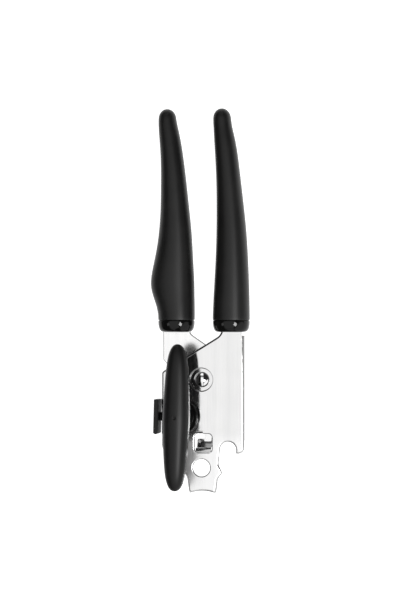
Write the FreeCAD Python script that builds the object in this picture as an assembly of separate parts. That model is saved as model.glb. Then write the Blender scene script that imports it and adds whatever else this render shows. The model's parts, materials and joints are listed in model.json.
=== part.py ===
import FreeCAD, Part
import math
import os

# Manual can opener with butterfly knob, bottle-opener notch and hanging hole.
# Drawing axes, in millimetres: the pivot rivet stands on the Z axis, +Y runs towards the handle ends and +X
# to the right as the user sees the knob. Z = 0 is the front face of the body plate, with the knob at +Z.
# The finished pieces are moved at the end, so that the part lies on its back with the origin at the middle
# of its underside.

V = FreeCAD.Vector

# ---- driving dimensions ----------------------------------------------------------------------------------
# Plates
PLATE = 1.5             # body plate thickness
RIM_DEPTH = 3.4         # front face to the edge of the turned-back rim
RIM_RADIUS = 1.4        # outside radius of the rim's bend
BODY_RIGHT = 23.8       # right edge from the pivot
BODY_LEFT = -22.1       # left edge from the pivot
BODY_BOTTOM = -62.3     # corners of the tail
TAIL_LEFT = -6.8
TAIL_RIGHT = 8.0
TAIL_SAG = 1.4          # how far the tail's end is hollowed
SHOULDER_LEFT = 4.2     # height at which the diagonal edge leaves the left edge
SHOULDER_RIGHT = 24.9   # height at which the diagonal edge meets the tang
TANG_EDGE = 11.3        # left edge of the tang
RIM_TOP = 24.2          # top of the right rim
RIM_STEP = 1.6          # the plate is this much narrower above the right rim
RIM_END = -33.0         # the right rim ends here, above the bottle-opener notch
FLANK_END = -38.0       # lower end of the body's left edge
NECK_LEFT = (-8.1, -52.6)  # where the slanted lower left edge reaches the tail
NECK_RIGHT = (9.1, -54.2)  # where the edge below the notch reaches the tail
FLAT_LEFT = 6.5         # round the notch the edge isn't turned back: from this X
FLAT_BOTTOM = -56.0     # and from this Y
ARM_PLATE = 1.6         # arm plate thickness
ARM_LEFT = -21.9        # left edge of the arm's tang
ARM_RIGHT = -7.6        # right edge of the arm's tang
ARM_FLANK_END = 10.8    # lower end of the arm's left edge
ARM_WAIST = ((-10.5, -2.0), (-6.0, -14.0))  # corners of its left side, towards the cutter
ARM_SHOULDER = (13.0, 11.5)  # its right shoulder, under the body
ARM_CROTCH = (-6.6, 24.9)  # where the edge from the shoulder reaches the tang
TANG_ENTRY = 3.0        # both plates run this far into the collars at full width
TANG_JOIN = 2.0         # and their narrower tongues start this far in

# Pivot
PIVOT_R = 2.6           # rivet shank
PIVOT_HEAD_R = 4.3
PIVOT_HEAD_RISE = 1.7
PIVOT_TAIL_R = 3.9
PIVOT_TAIL = 1.1
BOSS_R = 6.7            # mouth of the dish stamped round the rivet
BOSS_FLOOR_R = 6.1      # its floor
BOSS_WALL = 0.9         # radial thickness added behind the dish's slope
WASHER = 0.45
WASHER_R = 5.6

# Drive
DRIVE_X = -10.9         # drive axis from the pivot
DRIVE_Y = -20.2
SHAFT_R = 3.0
SHAFT_SQUARE = 4.2      # across flats, at both ends of the shaft
SQUARE_TRIM = 1.28      # radius that trims a square's corners, as a share of half its flats
SHAFT_TOP = 16.0        # end of the shaft's front square, inside the core
SHAFT_HEAD_R = 3.6
SHAFT_HEAD = 1.15
HEAD_TAPER = 0.7        # riveted heads narrow this much towards their ends
BUSH_R = 4.9            # bushing body
BUSH_FLANGE_R = 6.8
BUSH_FLANGE = 1.2
FEED_R = 7.2            # over the teeth of the feed wheel
FEED_ROOT_R = 6.3
FEED_TEETH = 24
FEED_WIDTH = 2.5
FEED_BEVEL = 1.2        # axial length of the bevel in front of its teeth
FEED_WASHER_R = 5.2
KNOB_WASHER = 0.4

# Cutter
CUTTER_R = 9.0
CUTTER_WIDTH = 1.7
CUTTER_BEVEL = 2.4      # radial width of the ground edge
CUTTER_LAND = 0.25      # thickness left at the edge
CUTTER_ANGLE = 17.6     # direction from the drive axis to the cutter axis, degrees
BITE = 0.7              # overlap of the cutter's edge and the feed wheel's teeth, seen from the front
CUTTER_GAP = 0.2        # clearance between their faces
STUD_R = 3.0            # journal of the cutter stud
STUD_SHOULDER_R = 4.4
STUD_HEAD_R = 4.0
STUD_HEAD = 0.9
CUTTER_WASHER = 0.35
SCREW_HEAD_R = 4.2
SCREW_HEAD = 1.2
SCREW_ROUND = 0.4
SLOT_WIDTH = 1.0
SLOT_DEPTH = 0.6
SCREW_R = 1.5
SCREW_LENGTH = 4.0

# Knob
DISC_R = 9.8
DISC = 2.8
DISC_ROUND = 0.6
NECK_R = 5.6
CORE_R = 4.6
CORE_TOP = 18.8         # top of the core inside the wing
WING_LENGTH = 80.2
WING_WIDTH = 15.6
WING_BACK = 11.0
WING_TOP = 22.2
WING_TAPER = 0.3        # share of its width that it loses towards its ends
WING_TAPER_POWER = 1.4  # 1 would be straight sides; more keeps the middle wide
WING_END = 9.0          # the higher, the later its ends close in
WING_END_POWER = 2.2    # roundness of its ends; 2 would be an ellipse
WING_SECTION = 2.2      # the same for its cross-section
NIB_R = 0.9             # nib at its lower tip
NIB_END_R = 0.4
NIB_LENGTH = 1.6
NIB_ROOT = 1.0          # how far the nib starts inside the wing
WING_TURN = -1.3        # the wing's angle from the Y axis at rest, degrees
DIMPLE_R = 0.9          # gate dimple in the middle of the wing
DIMPLE = 0.6
PIN_R = 1.0             # cross pin through core and shaft
PIN_HEIGHT = 13.0
PIN_SHORT = 0.3         # its ends stay this far inside the core

# Window with its two bent tabs
WINDOW_LEFT = -3.8
WINDOW_RIGHT = 5.9
WINDOW_TOP = -29.6
WINDOW_BOTTOM = -39.8
WINDOW_R = 2.2
TAB_BEND = 2.7          # outside bend radius of both tabs
STOP_LEFT = -2.7        # stop tab, bent back from the window's top edge
STOP_RIGHT = 0.95
STOP_GAP = 0.1          # between the stop tab and the arm's finger when closed
KEEPER_LEFT = -3.1      # keeper tab, bent back from the bottom edge and up behind the finger
KEEPER_RIGHT = 5.3
KEEPER_TOP = -32.6
KEEPER_PLATE = 1.3
KEEPER_GAP = 0.55       # behind the arm plate, at the finger's end
KEEPER_LEAN = 22.0      # its end leans back from the arm, degrees
KEEPER_ROUND = 1.0
FINGER_WIDTH = 3.8
FINGER_END = -33.9
FINGER_ROUND = 0.6
FINGER_FLARE = 2.5      # its root is this much wider on the right

# Bottle opener and hanging hole
NOTCH_X = 14.7
NOTCH_Y = -38.4
NOTCH_R = 4.5
LIP_X = 19.2
LIP_Y = -40.4
HOOK_R = 3.6            # outer corner beside the lip
TOOTH_X = 11.5
TOOTH_Y = -50.9
HEEL_X = 9.4            # deepest point of the throat's left wall
HEEL_Y = -46.3
HANG_X = 0.1
HANG_Y = -48.2
HANG_R = 4.75
EDGE_ROLL = 0.7         # radius rolled on the front edge of the window and the hanging hole
NOTCH_ROLL = 1.1        # and of the notch
ARM_ROLL = 0.5          # radius rolled on the arm's front edge

# Wall rest on the left flange
FLANGE_TOP = -5.5
FLANGE_BOTTOM = -35.0
FLANGE_DEPTH = 8.2
FLANGE_ROUND = 3.0
REST_TOP = -10.8
REST_LENGTH = 19.2
REST_THICK = 2.5
REST_POINT = 0.7        # its lower end is pointed by this much
REST_ROUND = 0.3
REST_FRONT = 3.5
REST_BACK = -7.2
REST_TILT = 1.5         # degrees
REST_BOSS_R = 2.4
REST_BOSS = 1.3
REST_RIVET_R = 1.5
REST_HEAD_R = 2.8
REST_HEAD = 0.9
REST_Z = -4.6           # height of the rest's rivet

# Handles
COLLAR_START = 26.1     # lower end of both handles
COLLAR_LENGTH = 6.4
COLLAR_ROUND = 3.0
HANDLE_LENGTH = 122.6
HANDLE_THICK = 18.4
HANDLE_SECTION = 2.3    # squareness of the section; 2 would be an ellipse
GRIP_WALL = 2.4
STEM_SHARE = 0.9        # the core reaches this far along the handle
TANG_WIDTH = 9.0
TANG_LENGTH = 56.0
TANG_ROUND = 3.0
TANG_PIN_R = 1.8
TANG_PIN_COVER = 1.2    # core wall left over the ends of the pins
TANG_PINS = (14.0, 42.0)  # distances from the collar
# Each station: share of the handle's length, outer edge, inner edge, thickness as a share of the full one.
LEFT_STATIONS = (
    (0.052, -24.3, -4.2, 1.0),
    (0.12, -25.4, -4.2, 1.0),
    (0.17, -27.7, -4.3, 1.0),
    (0.228, -28.6, -4.4, 1.0),
    (0.312, -26.7, -5.0, 0.98),
    (0.405, -24.5, -5.6, 0.95),
    (0.51, -23.2, -6.7, 0.91),
    (0.652, -22.8, -8.6, 0.84),
    (0.774, -22.9, -10.4, 0.76),
    (0.866, -23.7, -12.2, 0.69),
    (0.952, -24.2, -14.4, 0.6),
)
RIGHT_STATIONS = (
    (0.052, 26.4, 6.0, 1.0),
    (0.157, 26.2, 6.5, 1.0),
    (0.3, 25.6, 7.5, 0.98),
    (0.44, 24.6, 8.1, 0.94),
    (0.582, 22.8, 8.2, 0.87),
    (0.723, 20.8, 7.8, 0.79),
    (0.845, 18.7, 6.9, 0.7),
    (0.952, 16.1, 6.2, 0.6),
)
TIP_LEFT = -19.4        # middle of the left handle's tip
TIP_RIGHT = 11.0

# Clearances
PLAY = 0.05             # axial, between faces that turn on each other
RUNNING = 0.05          # radial, shaft in bore
RIM_GAP = 0.1           # between the rim's edge and the pivot boss's face
BUSH_GAP = 0.5          # arm plate to bushing

# ---- levels and places that follow -----------------------------------------------------------------------
BOSS_BACK = -RIM_DEPTH - RIM_GAP
BOSS_DROP = -BOSS_BACK - PLATE
ARM_FRONT = BOSS_BACK - WASHER - PLAY
ARM_BACK = ARM_FRONT - ARM_PLATE
BUSH_END = ARM_BACK - 6 * PLAY
FEED_FRONT = BUSH_END - PLAY - WASHER
FEED_BACK = FEED_FRONT - FEED_WIDTH
CUTTER_FRONT = FEED_BACK - CUTTER_GAP
CUTTER_BACK = CUTTER_FRONT - CUTTER_WIDTH
STUD_END = CUTTER_BACK - 2 * PLAY
SCREW_FACE = STUD_END - CUTTER_WASHER
REST_PLANE = SCREW_FACE - SCREW_HEAD
HANDLE_MID = REST_PLANE + HANDLE_THICK / 2
DISC_BACK = BUSH_FLANGE + PLAY + KNOB_WASHER
DISC_FRONT = DISC_BACK + DISC
KEEPER_FOOT = WINDOW_BOTTOM + TAB_BEND - PLATE
KEEPER_FRONT = ARM_BACK - KEEPER_GAP + (FINGER_END - KEEPER_FOOT) * math.tan(math.radians(KEEPER_LEAN))
KEEPER_BACK = KEEPER_FRONT - KEEPER_PLATE
AXES_APART = FEED_R + CUTTER_R - BITE
CUTTER_X = DRIVE_X + AXES_APART * math.cos(math.radians(CUTTER_ANGLE))
CUTTER_Y = DRIVE_Y + AXES_APART * math.sin(math.radians(CUTTER_ANGLE))
BORE_R = SHAFT_R + RUNNING
FINGER_LEFT = STOP_RIGHT + STOP_GAP
WING_MID = (WING_BACK + WING_TOP) / 2
PAST = 2.0              # how far a cutting shape runs past what it cuts


# ---- helpers ---------------------------------------------------------------------------------------------
def rod(radius, low, high, x=0, y=0):
    """Upright cylinder between two levels."""
    return Part.makeCylinder(radius, high - low, V(x, y, low))


def cone(low_r, high_r, low, high, x=0, y=0):
    """Upright truncated cone between two levels."""
    return Part.makeCone(low_r, high_r, high - low, V(x, y, low))


def ring(outer, inner, low, high, x=0, y=0):
    """Flat washer between two levels."""
    return rod(outer, low, high, x, y).cut(rod(inner, low, high, x, y))


def block(left, right, bottom, top, low, high):
    """Box from its limits along X, Y and Z."""
    return Part.makeBox(right - left, top - bottom, high - low, V(left, bottom, low))


def square_bar(across, low, high, x, y):
    """Upright square bar with its corners rounded off."""
    half = across / 2
    bar = block(x - half, x + half, y - half, y + half, low, high)
    return bar.common(rod(half * SQUARE_TRIM, low, high, x, y))


def rounded_face(corners, z):
    """Flat face through corners (x, y, radius), each one rounded by its own radius."""
    places = [V(x, y, z) for x, y, _ in corners]
    edges = []
    last = None
    first = None
    for i, (_, _, radius) in enumerate(corners):
        here = places[i]
        back = (places[i - 1] - here).normalize()
        ahead = (places[(i + 1) % len(places)] - here).normalize()
        half = back.getAngle(ahead) / 2
        reach = radius / math.tan(half)
        start = here + back * reach
        end = here + ahead * reach
        if last is None:
            first = start
        else:
            edges.append(Part.LineSegment(last, start).toShape())
        if radius:
            middle = here + (back + ahead).normalize() * (radius / math.sin(half) - radius)
            edges.append(Part.Arc(start, middle, end).toShape())
        last = end
    edges.append(Part.LineSegment(last, first).toShape())
    return Part.Face(Part.Wire(edges))


def plate(corners, low, high):
    """Flat plate with rounded corners between two levels."""
    return rounded_face(corners, low).extrude(V(0, 0, high - low))


def oval(y, middle, half_width, level, up, down, power):
    """Closed superellipse in the plane at y, with its own half heights above and below its level."""
    steps = 20
    points = []
    for i in range(steps):
        turn = 2 * math.pi * i / steps
        c = math.cos(turn)
        s = math.sin(turn)
        x = middle + half_width * math.copysign(abs(c) ** (2 / power), c)
        z = level + (up if s > 0 else down) * math.copysign(abs(s) ** (2 / power), s)
        points.append(V(x, y, z))
    curve = Part.BSplineCurve()
    curve.interpolate(Points=points, PeriodicFlag=True)
    return Part.Wire(curve.toShape())


# ---- body plate ------------------------------------------------------------------------------------------
def body_face():
    """Outline of the body plate before its notch, with the hollowed end of the tail."""
    face = rounded_face(
        (
            (TANG_EDGE, COLLAR_START + TANG_ENTRY, 0),
            (TANG_EDGE, SHOULDER_RIGHT, 6.0),
            (BODY_LEFT, SHOULDER_LEFT, 2.0),
            (BODY_LEFT, FLANK_END, 6.0),
            (*NECK_LEFT, 8.0),
            (TAIL_LEFT, BODY_BOTTOM, 1.6),
            (TAIL_RIGHT, BODY_BOTTOM, 1.6),
            (*NECK_RIGHT, 2.0),
            (LIP_X, LIP_Y, 1.0),
            (BODY_RIGHT, LIP_Y, HOOK_R),
            (BODY_RIGHT, COLLAR_START + TANG_ENTRY, 0),
        ),
        0,
    )
    half = (TAIL_RIGHT - TAIL_LEFT) / 2
    hollow_r = (half**2 + TAIL_SAG**2) / (2 * TAIL_SAG)
    centre = V((TAIL_LEFT + TAIL_RIGHT) / 2, BODY_BOTTOM + TAIL_SAG - hollow_r, 0)
    hollow = Part.Face(Part.Wire(Part.makeCircle(hollow_r, centre)))
    return face.cut(hollow).Faces[0]


def body_pan():
    """Plate with its edge turned back, apart from the hook round the bottle-opener notch."""
    face = body_face()
    pan = face.extrude(V(0, 0, -RIM_DEPTH))
    bent = []
    for edge in pan.Edges:
        box = edge.BoundBox
        on_front = box.ZMin > -0.01
        across_tang = box.YMin > COLLAR_START + TANG_JOIN
        if on_front and not across_tang:
            bent.append(edge)
    pan = pan.makeFillet(RIM_RADIUS, bent)
    inside = face.makeOffset2D(-PLATE).extrude(V(0, 0, -RIM_DEPTH))
    inside.translate(V(0, 0, -PLATE))
    top = COLLAR_START + TANG_ENTRY + PAST
    flat = block(FLAT_LEFT, BODY_RIGHT + PAST, FLAT_BOTTOM, RIM_END, -RIM_DEPTH - PAST, -PLATE)
    entry = block(TANG_EDGE - PAST, BODY_RIGHT + PAST, RIM_TOP, top, -RIM_DEPTH - PAST, -PLATE)
    step = block(BODY_RIGHT - RIM_STEP, BODY_RIGHT + PAST, RIM_TOP, top, -RIM_DEPTH - PAST, PAST)
    return pan.cut(inside).cut(flat).cut(entry).cut(step)


def notch_cut():
    """Bottle-opener notch: a round top, a throat wall on the left and an open mouth."""
    low = -PLATE - PAST
    throat = plate(
        (
            (NOTCH_X - NOTCH_R, NOTCH_Y, 0),
            (HEEL_X, HEEL_Y, 4.0),
            (TOOTH_X, TOOTH_Y, 0),
            (LIP_X + 4, LIP_Y - 12, 0),
            (LIP_X, LIP_Y, 0),
            (NOTCH_X + NOTCH_R, NOTCH_Y, 0),
        ),
        low,
        PAST,
    )
    return throat.fuse(rod(NOTCH_R, low, PAST, NOTCH_X, NOTCH_Y))


def bent_tab(left, right, edge, inward, depth):
    """Tab that leaves the plate's front face at a window edge, bends back by TAB_BEND and runs to depth.
    inward is +1 where the plate lies above the edge and -1 where it lies below."""
    centre_y = edge + inward * TAB_BEND
    width = right - left
    outer = Part.makeCylinder(TAB_BEND, width, V(left, centre_y, -TAB_BEND), V(1, 0, 0))
    inner = Part.makeCylinder(TAB_BEND - PLATE, width, V(left, centre_y, -TAB_BEND), V(1, 0, 0))
    low_y = min(edge, centre_y)
    corner = block(left, right, low_y, low_y + TAB_BEND, -TAB_BEND, 0)
    bend = outer.cut(inner).common(corner)
    leg_y = min(edge, edge + inward * PLATE)
    leg = block(left, right, leg_y, leg_y + PLATE, -depth, -TAB_BEND)
    return bend.fuse(leg)


def tab_clearing(left, right, edge, inward):
    """Plate metal that the bend of a tab takes away."""
    low_y = min(edge, edge + inward * TAB_BEND)
    return block(left, right, low_y, low_y + TAB_BEND, -PLATE - PAST, PAST)


def keeper_hem():
    """End of the keeper tab, which passes behind the arm's finger and leans back from it."""
    hem = block(KEEPER_LEFT, KEEPER_RIGHT, KEEPER_FOOT, KEEPER_TOP, KEEPER_BACK, KEEPER_FRONT)
    corners = [e for e in hem.Edges if e.BoundBox.YMin > KEEPER_TOP - 0.01 and e.BoundBox.XLength < 0.01]
    hem = hem.makeFillet(KEEPER_ROUND, corners)
    hem.rotate(V(0, KEEPER_FOOT, KEEPER_BACK), V(1, 0, 0), -KEEPER_LEAN)
    return hem


def flared(opening, radius):
    """Cutting tool for an opening in the body plate, widened at the front to leave a rolled edge."""
    box = opening.BoundBox
    margin = 3 * radius
    sides = (box.XMin - margin, box.XMax + margin, box.YMin - margin, box.YMax + margin)
    below = opening.common(block(*sides, box.ZMin, 0))
    tool = block(*sides, 0, PAST).fuse(below).removeSplitter()
    box.enlarge(0.01)
    mouth = []
    for edge in tool.Edges:
        reach = edge.BoundBox
        if abs(reach.ZMin) < 0.01 and abs(reach.ZMax) < 0.01 and box.isInside(reach):
            mouth.append(edge)
    return tool.makeFillet(radius, mouth)


def body_plate():
    """The stamped body: pan, pivot dish, drive hole, window, tabs, flange, notch and tang."""
    body = body_pan()
    slope = BOSS_R - BOSS_FLOOR_R
    body = body.fuse(cone(BOSS_R + BOSS_WALL - slope, BOSS_R + BOSS_WALL, BOSS_BACK, -PLATE / 2))
    body = body.cut(cone(BOSS_FLOOR_R, BOSS_R, -BOSS_DROP, 0))
    body = body.cut(rod(BUSH_R, -RIM_DEPTH, PAST, DRIVE_X, DRIVE_Y))
    window = plate(
        (
            (WINDOW_LEFT, WINDOW_TOP, WINDOW_R),
            (WINDOW_LEFT, WINDOW_BOTTOM, WINDOW_R),
            (WINDOW_RIGHT, WINDOW_BOTTOM, WINDOW_R),
            (WINDOW_RIGHT, WINDOW_TOP, WINDOW_R),
        ),
        -PLATE - PAST,
        PAST,
    )
    body = body.cut(flared(window, EDGE_ROLL))
    body = body.cut(tab_clearing(STOP_LEFT, STOP_RIGHT, WINDOW_TOP, 1))
    body = body.fuse(bent_tab(STOP_LEFT, STOP_RIGHT, WINDOW_TOP, 1, -ARM_BACK))
    keeper_edge = WINDOW_BOTTOM + TAB_BEND
    body = body.fuse(bent_tab(KEEPER_LEFT, KEEPER_RIGHT, keeper_edge, -1, -KEEPER_BACK))
    body = body.fuse(keeper_hem())
    body = body.cut(flared(notch_cut(), NOTCH_ROLL))
    body = body.cut(flared(rod(HANG_R, -RIM_DEPTH - PAST, PAST, HANG_X, HANG_Y), EDGE_ROLL))
    flange = block(
        BODY_LEFT, BODY_LEFT + PLATE, FLANGE_BOTTOM, FLANGE_TOP, -FLANGE_DEPTH, -RIM_RADIUS
    )
    ends = [e for e in flange.Edges if e.BoundBox.ZMax < -FLANGE_DEPTH + 0.01 and e.BoundBox.YLength < 0.01]
    body = body.fuse(flange.makeFillet(FLANGE_ROUND, ends))
    body = body.fuse(tang(RIGHT_TANG_MIDDLE, -PLATE, 0, COLLAR_START + TANG_JOIN))
    body = body.cut(rod(PIVOT_R, -RIM_DEPTH - PAST, PAST))
    body = body.cut(rest_rivet_hole())
    body = body.cut(pin_holes(RIGHT_TANG_MIDDLE))
    return body.removeSplitter()


# ---- handles ---------------------------------------------------------------------------------------------
LEFT_TANG_MIDDLE = (LEFT_STATIONS[0][1] + LEFT_STATIONS[0][2]) / 2
RIGHT_TANG_MIDDLE = (RIGHT_STATIONS[0][1] + RIGHT_STATIONS[0][2]) / 2


def tang(middle, low, high, start):
    """Flat tongue of a plate inside its handle."""
    half = TANG_WIDTH / 2
    end = COLLAR_START + TANG_LENGTH
    return plate(
        (
            (middle - half, end, TANG_ROUND),
            (middle - half, start, 0),
            (middle + half, start, 0),
            (middle + half, end, TANG_ROUND),
        ),
        low,
        high,
    )


def tang_pin_rods(middle, radius, low, high):
    """Upright rods at the places of a handle's two pins."""
    return [rod(radius, low, high, middle, COLLAR_START + y) for y in TANG_PINS]


def pin_holes(middle):
    """Holes that the two pins need through tang and core."""
    return Part.makeCompound(tang_pin_rods(middle, TANG_PIN_R, REST_PLANE, -REST_PLANE))


def handle_sections(stations, tip, inset):
    """Ovals along a handle: the rounded collar end, the stations, and the rounded tip."""
    sections = []
    _, outer, inner, _ = stations[0]
    middle = (outer + inner) / 2
    half = abs(outer - inner) / 2
    for turn in (0, 35, 65, 90):
        pull = COLLAR_ROUND * (1 - math.sin(math.radians(turn)))
        y = COLLAR_START + COLLAR_ROUND * (1 - math.cos(math.radians(turn)))
        sections.append((y, middle, half - pull, HANDLE_THICK / 2 - pull))
    for share, outer, inner, thick in stations:
        y = COLLAR_START + share * HANDLE_LENGTH
        sections.append((y, (outer + inner) / 2, abs(outer - inner) / 2, thick * HANDLE_THICK / 2))
    last_y, last_middle, last_half, last_thick = sections[-1]
    reach = COLLAR_START + HANDLE_LENGTH - last_y
    for turn in (30, 55, 75, 86):
        along = math.sin(math.radians(turn))
        narrow = math.cos(math.radians(turn))
        middle = last_middle + (tip - last_middle) * along
        sections.append((last_y + reach * along, middle, last_half * narrow, last_thick * narrow))
    return [
        oval(y, middle, half - inset, HANDLE_MID, thick - inset, thick - inset, HANDLE_SECTION)
        for y, middle, half, thick in sections
        if half - inset > 1 and (not inset or y < COLLAR_START + HANDLE_LENGTH * STEM_SHARE)
    ]


def handle_halves(stations, tip, middle, low, high):
    """Hard core with its glossy collar, and the soft grip that is moulded over it."""
    whole = Part.makeLoft(handle_sections(stations, tip, 0), True, False)
    stem = Part.makeLoft(handle_sections(stations, tip, GRIP_WALL), True, False)
    edge = COLLAR_START + COLLAR_LENGTH
    span = whole.BoundBox
    reach = block(span.XMin - PAST, span.XMax + PAST, 0, edge, span.ZMin - PAST, span.ZMax + PAST)
    core = whole.common(reach).fuse(stem)
    core = core.cut(tang(middle, low, high, 0))
    core = core.cut(pin_holes(middle))
    grip = whole.cut(reach).cut(stem)
    return core, grip


def tang_pins(middle):
    """The two pins that hold a tang in its core."""
    depth = HANDLE_THICK / 2 - GRIP_WALL - TANG_PIN_COVER
    return Part.makeCompound(tang_pin_rods(middle, TANG_PIN_R, HANDLE_MID - depth, HANDLE_MID + depth))


# ---- arm -------------------------------------------------------------------------------------------------
def arm_plate():
    """Flat arm behind the body: tang, shoulder, pivot, cutter lobe and stop finger."""
    lobe_r = AXES_APART - BUSH_R
    upper = plate(
        (
            (ARM_LEFT, COLLAR_START + TANG_ENTRY, 0),
            (ARM_LEFT, ARM_FLANK_END, 1.0),
            (*ARM_WAIST[0], 5.0),
            (*ARM_WAIST[1], 4.0),
            (CUTTER_X + lobe_r - 1, ARM_WAIST[1][1], 6.0),
            (*ARM_SHOULDER, 6.0),
            (*ARM_CROTCH, 3.0),
            (ARM_RIGHT, COLLAR_START + TANG_ENTRY, 0),
        ),
        ARM_BACK,
        ARM_FRONT,
    )
    front = [e for e in upper.Edges if e.BoundBox.ZMin > ARM_FRONT - 0.01 and e.BoundBox.YMin < COLLAR_START]
    arm = upper.makeFillet(ARM_ROLL, front)
    arm = arm.fuse(rod(lobe_r, ARM_BACK, ARM_FRONT, CUTTER_X, CUTTER_Y))
    finger = plate(
        (
            (FINGER_LEFT, CUTTER_Y, 0),
            (FINGER_LEFT, FINGER_END, FINGER_ROUND),
            (FINGER_LEFT + FINGER_WIDTH, FINGER_END, FINGER_ROUND),
            (FINGER_LEFT + FINGER_WIDTH + FINGER_FLARE, CUTTER_Y, 0),
        ),
        ARM_BACK,
        ARM_FRONT,
    )
    arm = arm.fuse(finger)
    arm = arm.fuse(tang(LEFT_TANG_MIDDLE, ARM_BACK, ARM_FRONT, COLLAR_START + TANG_JOIN))
    arm = arm.cut(rod(BUSH_R + BUSH_GAP, ARM_BACK - PAST, ARM_FRONT + PAST, DRIVE_X, DRIVE_Y))
    arm = arm.cut(rod(PIVOT_R + RUNNING, ARM_BACK - PAST, ARM_FRONT + PAST))
    arm = arm.cut(rod(STUD_R, ARM_BACK - PAST, ARM_FRONT + PAST, CUTTER_X, CUTTER_Y))
    arm = arm.cut(pin_holes(LEFT_TANG_MIDDLE))
    return arm.removeSplitter()


# ---- pivot -----------------------------------------------------------------------------------------------
def pivot_rivet():
    """Domed rivet, set in the body's dish, with its closed end behind the arm."""
    floor = -BOSS_DROP
    ball_r = (PIVOT_HEAD_R**2 + PIVOT_HEAD_RISE**2) / (2 * PIVOT_HEAD_RISE)
    dome = Part.makeSphere(ball_r, V(0, 0, floor + PIVOT_HEAD_RISE - ball_r))
    dome = dome.common(rod(ball_r, floor, floor + PIVOT_HEAD_RISE + PAST))
    tail_face = ARM_BACK - PLAY - WASHER
    tail = cone(PIVOT_TAIL_R - HEAD_TAPER, PIVOT_TAIL_R, tail_face - PIVOT_TAIL, tail_face)
    return dome.fuse(rod(PIVOT_R, tail_face, floor)).fuse(tail).removeSplitter()


def pivot_washer():
    """Spacing washer between the body's boss and the arm."""
    return ring(WASHER_R, PIVOT_R, BOSS_BACK - WASHER, BOSS_BACK)


def pivot_back_washer():
    """Washer under the rivet's closed end."""
    return ring(WASHER_R, PIVOT_R, ARM_BACK - PLAY - WASHER, ARM_BACK - PLAY)


# ---- drive -----------------------------------------------------------------------------------------------
def drive_bushing():
    """Flanged bushing staked in the body plate."""
    bushing = rod(BUSH_FLANGE_R, 0, BUSH_FLANGE, DRIVE_X, DRIVE_Y)
    bushing = bushing.fuse(rod(BUSH_R, BUSH_END, 0, DRIVE_X, DRIVE_Y))
    return bushing.cut(rod(BORE_R, BUSH_END - PAST, BUSH_FLANGE + PAST, DRIVE_X, DRIVE_Y)).removeSplitter()


def drive_shaft():
    """Shaft with a square at each end, a journal between them and a head behind the feed wheel."""
    shaft = rod(SHAFT_R, FEED_FRONT, DISC_BACK, DRIVE_X, DRIVE_Y)
    shaft = shaft.fuse(square_bar(SHAFT_SQUARE, DISC_BACK, SHAFT_TOP, DRIVE_X, DRIVE_Y))
    shaft = shaft.fuse(square_bar(SHAFT_SQUARE, FEED_BACK, FEED_FRONT, DRIVE_X, DRIVE_Y))
    head_end = SHAFT_HEAD_R - HEAD_TAPER
    shaft = shaft.fuse(cone(head_end, SHAFT_HEAD_R, FEED_BACK - SHAFT_HEAD, FEED_BACK, DRIVE_X, DRIVE_Y))
    return shaft.cut(pin_rod(CORE_R)).removeSplitter()


def pin_rod(half_length):
    """Cross pin's rod through core and shaft."""
    start = V(DRIVE_X - half_length, DRIVE_Y, PIN_HEIGHT)
    return Part.makeCylinder(PIN_R, 2 * half_length, start, V(1, 0, 0))


def feed_wheel():
    """Serrated wheel that grips the underside of a can's rim."""
    points = []
    for i in range(2 * FEED_TEETH):
        radius = FEED_R if i % 2 else FEED_ROOT_R
        turn = math.pi * i / FEED_TEETH
        points.append(V(DRIVE_X + radius * math.cos(turn), DRIVE_Y + radius * math.sin(turn), FEED_BACK))
    points.append(points[0])
    wheel = Part.Face(Part.makePolygon(points)).extrude(V(0, 0, FEED_WIDTH))
    bevel = FEED_FRONT - FEED_BEVEL
    front = cone(FEED_R + 1, FEED_ROOT_R, bevel, FEED_FRONT, DRIVE_X, DRIVE_Y)
    back = rod(FEED_R + 1, FEED_BACK, bevel, DRIVE_X, DRIVE_Y)
    wheel = wheel.common(front.fuse(back))
    return wheel.cut(square_bar(SHAFT_SQUARE, FEED_BACK - PAST, FEED_FRONT + PAST, DRIVE_X, DRIVE_Y))


def feed_washer():
    """Thrust washer between the bushing's end and the feed wheel."""
    return ring(FEED_WASHER_R, SHAFT_R, FEED_FRONT, FEED_FRONT + WASHER, DRIVE_X, DRIVE_Y)


def knob_washer():
    """Thrust washer between the bushing's flange and the knob's disc."""
    return ring(BUSH_FLANGE_R, SHAFT_R, DISC_BACK - KNOB_WASHER, DISC_BACK, DRIVE_X, DRIVE_Y)


# ---- knob ------------------------------------------------------------------------------------------------
def knob_core():
    """Hard core: base disc, neck and the stem inside the wing."""
    core = rod(DISC_R, DISC_BACK, DISC_FRONT, DRIVE_X, DRIVE_Y)
    rims = [e for e in core.Edges if e.BoundBox.ZLength < 0.01]
    core = core.makeFillet(DISC_ROUND, rims)
    core = core.fuse(knob_stem())
    core = core.cut(square_bar(SHAFT_SQUARE, DISC_BACK - PAST, SHAFT_TOP, DRIVE_X, DRIVE_Y))
    return core.cut(pin_rod(CORE_R)).removeSplitter()


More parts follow.
